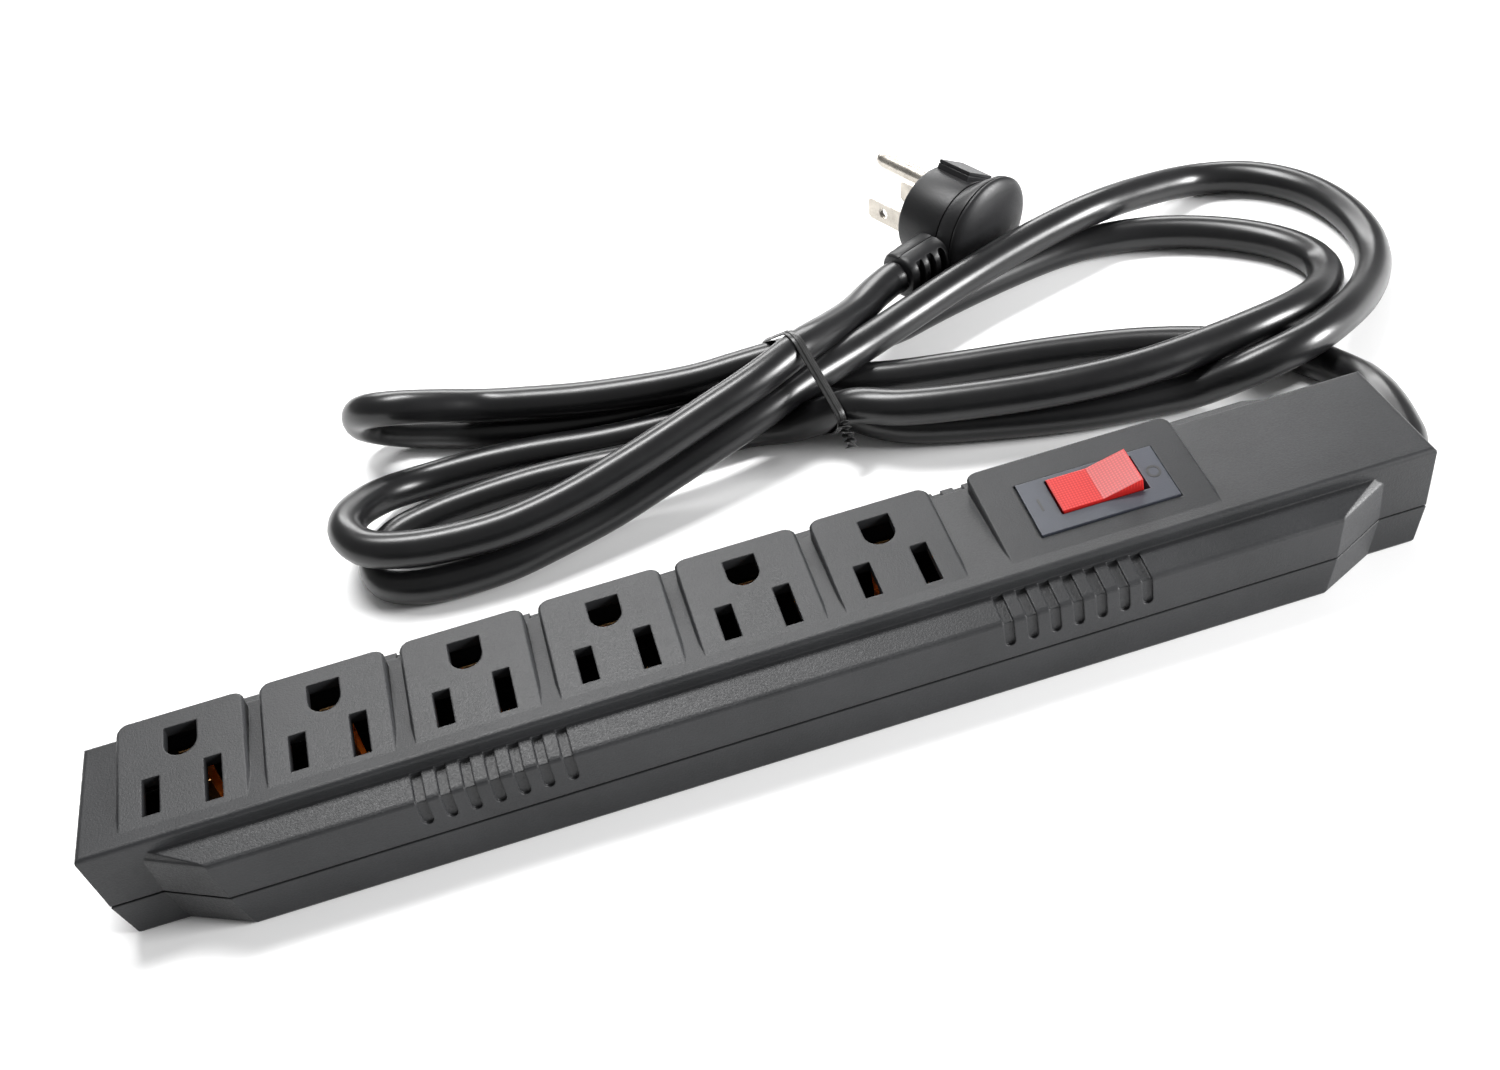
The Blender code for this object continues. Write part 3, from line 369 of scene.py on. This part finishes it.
CORD_RADIUS = 4.55
CORD_START = (122.6, 1.0, 9.8)
CORD_EXIT = (143.2, 1.0, 9.8)
CORD_END = (68.72, 124.42, 11.54)
CORD_ROUTE = [
    (143.6, 1, 9.8), (146.6, 1.9, 9.8), (149.2, 5, 9.8), (150.9, 10.5, 9.7), (152.3, 17, 9.5),
    (153.4, 24, 8.8), (154.2, 31, 7.2), (153.6, 38, 5.6), (151.4, 45.5, 4.7), (147, 53.5, 4.6),
    (135.5, 63, 4.6), (118.5, 72.5, 4.6), (97.5, 79.5, 4.6), (70, 86, 4.6), (50, 91, 5.2),
    (33.5, 100, 6.2), (18.5, 105.5, 5.2), (2, 106, 4.6), (-19.5, 108.5, 4.6), (-37.5, 113.5, 4.6),
    (-56, 121.5, 4.6), (-68, 127.5, 4.8), (-76.5, 129.5, 7.5), (-80, 127.5, 11.5),
    (-79.5, 124, 16.5), (-75.5, 119, 20), (-68.5, 115.5, 20.8), (-58, 115, 18), (-47, 115.5, 14),
    (-35.5, 111.5, 13.5), (-20.5, 106, 13.5), (-2.5, 101.5, 13.5), (8, 100, 13.5), (18.5, 99.5, 14),
    (28, 99, 14.4), (37, 99, 14.2), (48.5, 103, 10.2), (65, 112, 4.6), (97, 121.8, 4.6),
    (121.5, 125.4, 4.6), (140.4, 121.6, 4.6), (156.8, 111.7, 4.6), (168.3, 98.6, 4.6),
    (172, 86, 4.6), (167.5, 74.5, 6.5), (154, 61, 12), (138, 54.5, 14.5), (123, 53, 14),
    (107, 52, 14), (90, 53.5, 14), (71, 57.5, 14), (50.5, 64, 14), (41, 70.5, 13.5), (34, 76, 9.5),
    (26.5, 81.5, 5.2), (16.5, 85.5, 4.6), (5, 85.5, 4.6), (-9, 86, 4.6), (-23, 88, 4.6),
    (-38.5, 89.5, 4.6), (-54, 89, 4.6), (-66, 87.5, 4.6), (-77, 83.4, 4.6), (-81.9, 75, 4.6),
    (-79.7, 66.6, 4.6), (-72, 62, 4.6), (-62.5, 60.5, 4.6), (-50.5, 61, 4.6), (-37.5, 64.5, 4.6),
    (-24, 68.5, 5), (-10, 72, 7.5), (4, 74.5, 11), (18, 78.5, 13.5), (30.5, 84.5, 14.5),
    (46.5, 93, 13.5), (62.5, 102.9, 12), (82, 112.2, 12.5), (104.5, 120, 14), (125, 126.5, 14),
    (144.8, 135.4, 9.5), (163.3, 140.9, 5), (177, 134.8, 4.6), (187, 120.5, 4.6),
    (189.8, 101.3, 4.6), (186, 84, 4.6), (174.5, 66.5, 7.5), (158, 51, 12.5), (144, 43.5, 14),
    (131.5, 44, 11), (119, 49.5, 5), (97, 53, 4.6), (73.5, 60, 4.6), (51, 69.5, 4.7),
    (41, 79.5, 5.6), (31, 90.5, 6.1), (19, 96.5, 4.9), (5.5, 96.5, 4.6), (-8, 96.5, 4.6),
    (-21, 98, 4.6), (-37, 101.5, 4.6), (-52.5, 103.5, 4.6), (-67, 103, 5), (-78, 97.1, 8.5),
    (-84.9, 86.2, 13), (-86.1, 76.5, 15), (-81.7, 68.4, 15), (-71.5, 64, 14.5), (-60, 62.5, 14),
    (-47.5, 62.5, 14), (-32, 65, 15), (-13.5, 69.5, 17.5), (3.5, 74.5, 20.2), (19, 79.5, 22.5),
    (32.5, 87.5, 23), (43.5, 98.5, 18.5), (52.5, 108.8, 14.5), (60.3, 117.8, 12.6),
    (66.1, 123.1, 11.8),
]


def smooth_curve(route, steps):
    """Fine points on the smooth curve through every point of a route."""
    fine = []
    last = len(route) - 1
    for i in range(last):
        a = Vector(route[max(i - 1, 0)])
        b = Vector(route[i])
        c = Vector(route[i + 1])
        d = Vector(route[min(i + 2, last)])
        t1 = max((b - a).length, 0.001) ** 0.5
        t2 = max((c - b).length, 0.001) ** 0.5
        t3 = max((d - c).length, 0.001) ** 0.5
        m1 = c - b
        m2 = c - b
        if i > 0:
            m1 = t2 * ((b - a) / t1 - (c - a) / (t1 + t2) + (c - b) / t2)
        if i < last - 1:
            m2 = t2 * ((c - b) / t2 - (d - b) / (t2 + t3) + (d - c) / t3)
        for k in range(steps):
            t = k / steps
            place = (2 * t**3 - 3 * t**2 + 1) * b + (t**3 - 2 * t**2 + t) * m1
            place += (-2 * t**3 + 3 * t**2) * c + (t**3 - t**2) * m2
            fine.append(place)
    fine.append(Vector(route[-1]))
    return fine


def relaxed(points, rounds):
    """Ease small wobbles out of a fine line, its ends held."""
    for _ in range(rounds):
        eased = [points[0]]
        for before, here, after in zip(points, points[1:], points[2:]):
            eased.append(here * 0.5 + (before + after) * 0.25)
        eased.append(points[-1])
        points = eased
    return points


def cord_line():
    start = [Vector(CORD_START).lerp(Vector(CORD_EXIT), k / 8.0) for k in range(9)]
    middle = relaxed(smooth_curve(CORD_ROUTE, 8), 3)
    points = start + middle + [Vector(CORD_END)]
    for point in points:
        point.z = max(point.z, CORD_RADIUS + 0.05)
    return points


CORD_LINE = cord_line()


def power_cord():
    data = bpy.data.curves.new("cord", "CURVE")
    data.dimensions = "3D"
    data.bevel_depth = CORD_RADIUS * MM
    data.bevel_resolution = 8
    data.use_fill_caps = True
    line = data.splines.new("POLY")
    line.points.add(len(CORD_LINE) - 1)
    for slot_point, place in zip(line.points, CORD_LINE):
        slot_point.co = (*(place * MM), 1.0)
    line.use_smooth = True
    data.materials.append(MATERIALS["cord_jacket"])
    made = bpy.data.objects.new("cord", data)
    bpy.context.scene.collection.objects.link(made)
    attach(made, "strip")
    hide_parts("power_cord")
    return made


cord = power_cord()


# Plug, in its own frame: x towards the cord, y up past the ground pin, z along the prongs.
# Each level of the body is its place along z, its radius and its lip.

PLUG_AT = (86.5, 147.5, 12.2)
PRONG_DIRECTION = (-0.443, 0.893, 0.085)
PLUG_UP = (0.104, -0.043, 0.994)
PLUG_CENTRE = 2.9
RELIEF_Y = -1.5
RELIEF_Z = -12.8
BLADE_X = 6.35
GROUND_Y = 11.9
POCKET_FLOOR = -1.5
POCKET_TOP = 1.0
PLUG_RADIUS = 13.3
LIP = 4.2
LIP_TURN = math.radians(45.0)
TAB_TURN = math.radians(62.0)
RELIEF_SQUARE = 0.72
SLOT_STRAIGHT = 5.0
SLOT_ROUND = 1.05
PIN_RADIUS = 2.38
PIN_LENGTH = 21.2
PIN_ROOT = -2.6
PIN_TIP = 4.4


def plug_frame():
    along = Vector(PRONG_DIRECTION).normalized()
    side = Vector(PLUG_UP).cross(along).normalized()
    up = along.cross(side)
    turn = Matrix((side, up, along)).transposed().to_4x4()
    return Matrix.Translation(Vector(PLUG_AT) * MM) @ turn


PLUG = plug_frame()


def plug_level(z, radius, lip):
    """Section of the body, longer by lip on the upper side away from the cord."""
    half = lip * radius / PLUG_RADIUS / 2.0
    away, up = -math.cos(LIP_TURN), math.sin(LIP_TURN)
    ring = []
    for cosine, sine in turn_round(120):
        shift = half * (1.0 + cosine * away + sine * up)
        ring.append((radius * cosine + away * shift, PLUG_CENTRE + radius * sine + up * shift, z))
    return ring


def blade_pocket(x, z):
    return [(x - 0.95, -3.35, z), (x + 0.95, -3.35, z), (x + 0.95, 3.35, z), (x - 0.95, 3.35, z)]


def pin_pocket(z):
    return [(2.6 * cosine, GROUND_Y + 2.6 * sine, z) for cosine, sine in turn_round(32)]


def plug_barrel():
    """Barrel, seam, band and domed back with a lip to pull by."""
    profile = [
        (0.0, 2.0, 0.0), (0.0, 12.5, 0.0), (-0.12, 12.95, 0.0), (-0.45, 13.2, 0.0), (-0.9, 13.3, 0.0),
        (-7.0, 13.15, 0.1), (-13.9, 13.05, 0.4), (-14.1, 13.0, 0.4), (-14.2, 12.7, 0.4),
        (-14.38, 12.65, 0.4), (-14.5, 12.9, 0.4), (-14.65, 12.97, 0.5), (-16.4, 13.0, 2.2),
        (-18.4, 13.05, LIP), (-19.0, 12.98, LIP), (-19.15, 12.68, LIP), (-19.3, 12.64, LIP),
        (-19.45, 13.0, LIP), (-19.65, 13.15, LIP), (-20.0, 13.2, LIP), (-20.4, 13.05, LIP),
        (-20.9, 12.55, LIP), (-21.5, 11.65, LIP), (-22.0, 10.4, LIP), (-22.45, 8.8, LIP),
        (-22.8, 6.9, LIP), (-23.03, 4.8, LIP), (-23.13, 2.6, LIP), (-23.16, 1.0, LIP),
    ]
    levels = [plug_level(z, radius, lip) for z, radius, lip in profile]
    work = bmesh.new()
    rings(work, levels, PLUG)
    made = finish_mesh("plug_barrel", work, "plug_black", angle=50.0)
    depths = (POCKET_FLOOR, POCKET_TOP)
    pockets = [([blade_pocket(x, z) for z in depths], PLUG) for x in (-BLADE_X, BLADE_X)]
    pockets.append(([pin_pocket(z) for z in depths], PLUG))
    cut(made, pockets)
    made.data.set_sharp_from_angle(angle=math.radians(50.0))
    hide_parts("plug_body")
    return made


def squared(value):
    """Push a cosine or sine outwards, so that a circle becomes a rounded square."""
    return math.copysign(abs(value) ** RELIEF_SQUARE, value)


def relief_section(x, half_y, half_z):
    ring = []
    for cosine, sine in turn_round(64):
        ring.append((x, squared(cosine) * half_y + RELIEF_Y, squared(sine) * half_z + RELIEF_Z))
    return ring


def relief_slot(x, z):
    """Outline of one slot: straight sides along y with round ends."""
    outline = []
    for cosine, sine in turn_round(20):
        y = SLOT_STRAIGHT * math.copysign(1.0, sine) + SLOT_ROUND * sine
        outline.append((x + SLOT_ROUND * cosine, RELIEF_Y + y, z))
    return outline


def seam_strip(y):
    low, high = RELIEF_Z - 0.12, RELIEF_Z + 0.12
    return [(7.0, y, low), (26.5, y, low), (26.5, y, high), (7.0, y, high)]


def plug_relief():
    """Moulded strain relief, slotted on both sides, with its parting line along the top."""
    levels = [
        relief_section(8.0, 7.6, 7.4), relief_section(12.0, 7.5, 7.3), relief_section(12.6, 7.1, 6.9),
        relief_section(16.0, 6.85, 6.75), relief_section(20.0, 6.5, 6.45), relief_section(23.8, 6.15, 6.2),
        relief_section(24.8, 5.95, 6.05), relief_section(25.4, 5.6, 5.75), relief_section(25.6, 5.1, 5.2),
    ]
    work = bmesh.new()
    rings(work, levels, PLUG)
    made = finish_mesh("plug_relief", work, "plug_black", angle=50.0)
    cuts = []
    for x in (14.6, 18.4, 22.2):
        for side in (-1.0, 1.0):
            depths = (RELIEF_Z + side * 4.3, RELIEF_Z + side * 9.0)
            cuts.append(([relief_slot(x, z) for z in depths], PLUG))
    cuts.append(([seam_strip(y) for y in (RELIEF_Y + 5.5, RELIEF_Y + 9.0)], PLUG))
    cut(made, cuts)
    bevelled(made, 0.16, 45.0)
    made.data.set_sharp_from_angle(angle=math.radians(40.0))
    return made


def plug_tab():
    """Raised grip on the barrel, away from the cord and turned towards the ground pin."""
    work = bmesh.new()
    levels = []
    for out, grow in ((-2.0, 0.0), (0.5, 0.0), (0.51, -0.2), (0.75, -0.2), (0.76, 0.0), (1.6, 0.0)):
        reach = -(PLUG_RADIUS + out)
        side = 5.1 + grow
        back, front = -12.2 - grow, -1.0 + grow
        corners = ((-side, back), (side, back), (side, front), (-side, front))
        levels.append([(reach, y, z) for y, z in corners])
    centre = Matrix.Translation(Vector((0.0, PLUG_CENTRE, 0.0)) * MM)
    turned = centre @ Matrix.Rotation(-TAB_TURN, 4, "Z")
    rings(work, levels, PLUG @ turned)
    made = finish_mesh("plug_tab", work, "plug_black", angle=50.0)
    bevelled(made, 0.14, 40.0)
    return made


barrel = plug_barrel()
relief = plug_relief()
tab = plug_tab()


# Folded ground pin: rolled sheet with a rounded tip and a gap down one side

def ground_pin():
    steps = 23
    levels = []
    for k in range(steps + 1):
        z = PIN_ROOT + (PIN_LENGTH - PIN_ROOT) * (k / steps)
        over = max(0.0, z - (PIN_LENGTH - PIN_TIP)) / PIN_TIP
        r = PIN_RADIUS * math.sqrt(max(0.0, 1.0 - over**2.2)) + 0.03
        levels.append([(r * cosine, GROUND_Y + r * sine, z) for cosine, sine in turn_round(28)])
    work = bmesh.new()
    rings(work, levels, PLUG)
    made = finish_mesh("folded_pin", work, "nickel", angle=60.0)
    slot = []
    for y in (GROUND_Y - 0.55, GROUND_Y + 0.55):
        slot.append([(-4.0, y, 1.6), (0.9, y, 1.6), (0.9, y, 17.2), (-4.0, y, 17.2)])
    cut(made, [(slot, PLUG)])
    bevelled(made, 0.12, 50.0)
    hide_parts("ground_pin")
    return made


pin = ground_pin()


# Tie

TIE_AT = (31.0, 88.0)
TIE_DIRECTION = math.radians(-76.0)
TIE_WIDTH = 2.5
TIE_THICKNESS = 0.7


def hull(points):
    """Convex outline of flat points, anticlockwise."""
    ordered = sorted(points)
    outline = []
    for line in (ordered, ordered[::-1]):
        chain = []
        for p in line:
            while len(chain) > 1:
                a, b = chain[-2], chain[-1]
                if (b[0] - a[0]) * (p[1] - a[1]) > (b[1] - a[1]) * (p[0] - a[0]):
                    break
                chain.pop()
            chain.append(p)
        outline.extend(chain[:-1])
    return outline


def even_loop(outline, count):
    """The same closed outline with evenly spaced points."""
    line = [Vector(p) for p in outline] + [Vector(outline[0])]
    total = sum((b - a).length for a, b in zip(line, line[1:]))
    even = []
    run = 0.0
    index = 0
    for k in range(count):
        want = total * k / count
        while run + (line[index + 1] - line[index]).length < want:
            run += (line[index + 1] - line[index]).length
            index += 1
        piece = (line[index + 1] - line[index]).length
        even.append(line[index].lerp(line[index + 1], (want - run) / piece))
    return even


def tie_axes():
    middle = Vector((TIE_AT[0], TIE_AT[1], 0.0))
    across = Vector((math.cos(TIE_DIRECTION), math.sin(TIE_DIRECTION), 0.0))
    through = Vector((-across.y, across.x, 0.0))
    return middle, across, through


def tie_band():
    """Flat coated wire pulled round the runs of cord that pass through it."""
    middle, across, through = tie_axes()
    reach = CORD_RADIUS + 0.05
    cloud = []
    for place in CORD_LINE:
        offset = place - middle
        aside = max(0.0, abs(offset.dot(through)) - TIE_WIDTH / 2.0)
        if aside < reach and abs(offset.dot(across)) < 30.0:
            radius = math.sqrt(reach * reach - aside * aside)
            for cosine, sine in turn_round(48):
                z = max(place.z + radius * sine, TIE_THICKNESS + 0.08)
                cloud.append((offset.dot(across) + radius * cosine, z))
    inner = even_loop(hull(cloud), 180)
    section = [
        (-0.5, 0.0), (0.5, 0.0), (0.5, 0.5), (0.42, 0.62), (0.2, 0.66), (0.12, 1.0), (-0.12, 1.0),
        (-0.2, 0.66), (-0.42, 0.62), (-0.5, 0.5),
    ]
    levels = []
    count = len(inner)
    for i, here in enumerate(inner):
        run = (inner[(i + 1) % count] - inner[i - 1]).normalized()
        out = Vector((run.y, -run.x))
        level = []
        for wide, thick in section:
            flat = here + out * thick * TIE_THICKNESS
            level.append(middle + across * flat.x + Vector((0.0, 0.0, flat.y)) + through * wide * TIE_WIDTH)
        levels.append(level)
    work = bmesh.new()
    rings(work, levels, closed=True)
    made = finish_mesh("tie_band", work, "tie_black", angle=40.0)
    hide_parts("twist_tie")
    return made, inner


tie, tie_inner = tie_band()


def tie_tail():
    """Twisted ends of the tie, lying on the near side of the hank."""
    middle, across, through = tie_axes()
    edge = max(tie_inner, key=lambda p: p.x)
    start = middle + across * (edge.x + 0.2) + Vector((0.0, 0.0, edge.y))
    route = [
        start,
        start + across * 1.5 + Vector((0.0, 0.0, -1.4)),
        start + across * 2.6 + Vector((0.0, 0.0, -3.4)),
        start + across * 4.4 + Vector((0.0, 0.0, -5.2)) - through * 0.8,
    ]
    line = smooth_curve(route, 14)
    strand = [(-0.95, -0.3), (0.95, -0.3), (1.05, 0.0), (0.95, 0.3), (-0.95, 0.3), (-1.05, 0.0)]
    work = bmesh.new()
    for phase in (0.0, math.pi):
        levels = []
        count = len(line)
        for i, here in enumerate(line):
            ahead = (line[min(i + 1, count - 1)] - line[max(i - 1, 0)]).normalized()
            side = ahead.cross(Vector((0.0, 0.0, 1.0))).normalized()
            up = side.cross(ahead)
            angle = phase + 5.0 * math.pi * i / count
            centre = here + (side * math.cos(angle) + up * math.sin(angle)) * 0.62
            flat = side * math.cos(angle + 0.5) + up * math.sin(angle + 0.5)
            thick = ahead.cross(flat)
            level = []
            for wide, deep in strand:
                place = centre + flat * wide + thick * deep
                place.z = max(place.z, 0.1)
                level.append(place)
            levels.append(level)
        rings(work, levels)
    return finish_mesh("tie_tail", work, "tie_black", angle=45.0)


tail = tie_tail()


# Marks by the switch: a plain bar and ring

WEDGE_HINGE = (0.0, -12.0, 24.6)
WEDGE_TILT = math.radians(6.96)
PLATE_TOP = 0.4
BAR = (62.0, 62.5, 11.0, 14.6)
RING_AT = (87.6, 12.8)
RING_STRETCH = 1.15


def switch_marks():
    place = Matrix.Translation(Vector(WEDGE_HINGE) * MM) @ Matrix.Rotation(WEDGE_TILT, 4, "X")
    work = bmesh.new()
    low, high = PLATE_TOP - 0.05, PLATE_TOP + 0.04
    left, right, near, far = BAR
    levels = [[(left, near, w), (right, near, w), (right, far, w), (left, far, w)] for w in (low, high)]
    rings(work, levels, place)
    levels = []
    for radius, w in ((1.05, low), (1.55, low), (1.55, high), (1.05, high)):
        levels.append([
            (RING_AT[0] + radius * cosine, RING_AT[1] + radius * RING_STRETCH * sine, w)
            for cosine, sine in turn_round(40)
        ])
    rings(work, levels, place, closed=True)
    return finish_mesh("switch_marks", work, "wire_black", angle=30.0)


switch_marks()


# Floor and light

def floor():
    work = bmesh.new()
    size = 3.0
    corners = [(-size, -size, -0.0001), (size, -size, -0.0001), (size, size, -0.0001), (-size, size, -0.0001)]
    work.faces.new([work.verts.new(corner) for corner in corners])
    mesh = bpy.data.meshes.new("floor")
    work.to_mesh(mesh)
    work.free()
    made = bpy.data.objects.new("floor", mesh)
    surface, _, shader = new_material("floor", (0.92, 0.92, 0.92), 0.7)
    shader.inputs["Specular IOR Level"].default_value = 0.2
    mesh.materials.append(surface)
    bpy.context.scene.collection.objects.link(made)


def area_light(name, place, target, size, power):
    data = bpy.data.lights.new(name, "AREA")
    data.shape = "RECTANGLE"
    data.size = size[0]
    data.size_y = size[1]
    data.energy = power
    made = bpy.data.objects.new(name, data)
    made.location = place
    made.rotation_euler = (Vector(target) - Vector(place)).to_track_quat("-Z", "Y").to_euler()
    bpy.context.scene.collection.objects.link(made)


def world():
    made = bpy.data.worlds.new("world")
    made.use_nodes = True
    background = made.node_tree.nodes["Background"]
    background.inputs["Color"].default_value = (1.0, 1.0, 1.0, 1.0)
    background.inputs["Strength"].default_value = 0.3
    bpy.context.scene.world = made


floor()
world()
area_light("overhead", (-0.1, 0.4, 0.95), (0.0, 0.05, 0.0), (0.5, 0.25), 13.0)
area_light("side", (1.0, -0.42, 0.3), (0.1, 0.0, 0.0), (0.4, 0.4), 30.0)
area_light("back", (0.2, 1.2, 0.6), (0.0, 0.05, 0.0), (1.2, 0.35), 14.0)
bpy.context.scene.view_settings.view_transform = "Standard"

bpy.context.view_layer.update()
